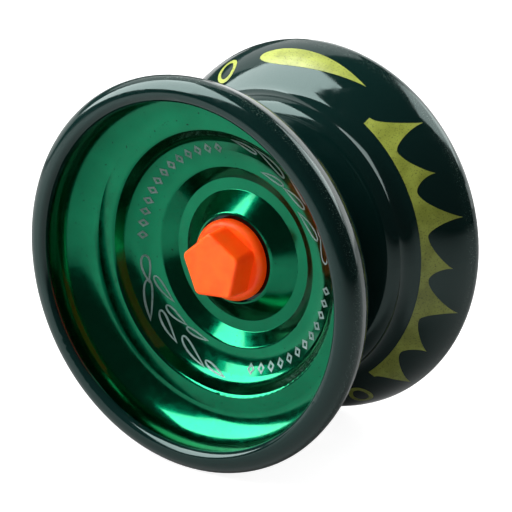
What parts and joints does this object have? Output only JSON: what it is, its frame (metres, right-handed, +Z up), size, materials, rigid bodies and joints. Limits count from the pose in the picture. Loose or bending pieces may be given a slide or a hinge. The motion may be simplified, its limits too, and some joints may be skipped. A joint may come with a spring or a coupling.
{
  "type": "yo-yo",
  "caption": "Ball-bearing yo-yo with two dished green cups in black flame-printed rims, clamped on a threaded stud by pentagonal orange knobs.",
  "frame": {"origin": "middle of the string gap on the axle, which is the centre of the whole yo-yo", "axes": "+Y along the axle towards the rear half, +Z up, the front half's cup opening towards -Y"},
  "size_m": [0.055, 0.0336, 0.055],
  "materials": {
    "black_lacquer": "high-gloss black lacquer with a green cast over metal",
    "anodised_green": "glossy emerald anodised metal with small dark pits",
    "orange_plastic": "smooth moulded red-orange plastic",
    "insert_brass": "turned brass",
    "fastener_steel": "zinc-plated steel",
    "bearing_steel": "ground bearing steel",
    "seat_alloy": "turned bare aluminium",
    "silicone": "matt translucent white silicone"
  },
  "bodies": {
    "bearing_race": {"bearing_outer_ring": "bearing_steel", "front_shield": "bearing_steel", "rear_shield": "bearing_steel", "front_snap_ring": "fastener_steel", "rear_snap_ring": "fastener_steel"},
    "ball_cage": {"bearing_cage": "insert_brass", "bearing_balls": "bearing_steel"},
    "rear_half": {"rear_body": "black_lacquer", "rear_cup": "anodised_green", "rear_response_pad": "silicone", "rear_bearing_seat": "seat_alloy", "bearing_inner_ring": "bearing_steel", "axle_stud": "fastener_steel"},
    "front_half": {"front_body": "black_lacquer", "front_cup": "anodised_green", "front_response_pad": "silicone", "front_bearing_seat": "seat_alloy"},
    "front_washer": {"front_washer": "fastener_steel"},
    "front_knob": {"front_knob": "orange_plastic", "front_insert": "insert_brass"},
    "rear_washer": {"rear_washer": "fastener_steel"},
    "rear_knob": {"rear_knob": "orange_plastic", "rear_insert": "insert_brass"}
  },
  "joints": [
    {"name": "spin", "type": "hinge", "parent": "bearing_race", "child": "rear_half", "pos_m": [0, 0, 0], "axis": [0, 1, 0], "continuous": true},
    {"name": "cage_orbit", "type": "hinge", "parent": "bearing_race", "child": "ball_cage", "pos_m": [0, 0, 0], "axis": [0, 1, 0], "continuous": true},
    {"name": "front_half_pull", "type": "slide", "parent": "rear_half", "child": "front_half", "axis": [0, -1, 0], "range_m": [0, 0.0085]},
    {"name": "front_knob_travel", "type": "slide", "parent": "front_half", "child": "front_washer", "axis": [0, -1, 0], "range_m": [0, 0.00455]},
    {"name": "front_knob_turn", "type": "hinge", "parent": "front_washer", "child": "front_knob", "pos_m": [0, 0, 0], "axis": [0, -1, 0], "range_deg": [0, 2341]},
    {"name": "rear_knob_travel", "type": "slide", "parent": "rear_half", "child": "rear_washer", "axis": [0, 1, 0], "range_m": [0, 0.00455]},
    {"name": "rear_knob_turn", "type": "hinge", "parent": "rear_washer", "child": "rear_knob", "pos_m": [0, 0, 0], "axis": [0, 1, 0], "range_deg": [0, 2341]}
  ],
  "couplings": [
    {"joint": "cage_orbit", "follows": "spin", "ratio": 0.39247},
    {"joint": "front_knob_turn", "follows": "front_knob_travel", "rad_per_m": 8976},
    {"joint": "rear_knob_turn", "follows": "rear_knob_travel", "rad_per_m": 8976}
  ]
}
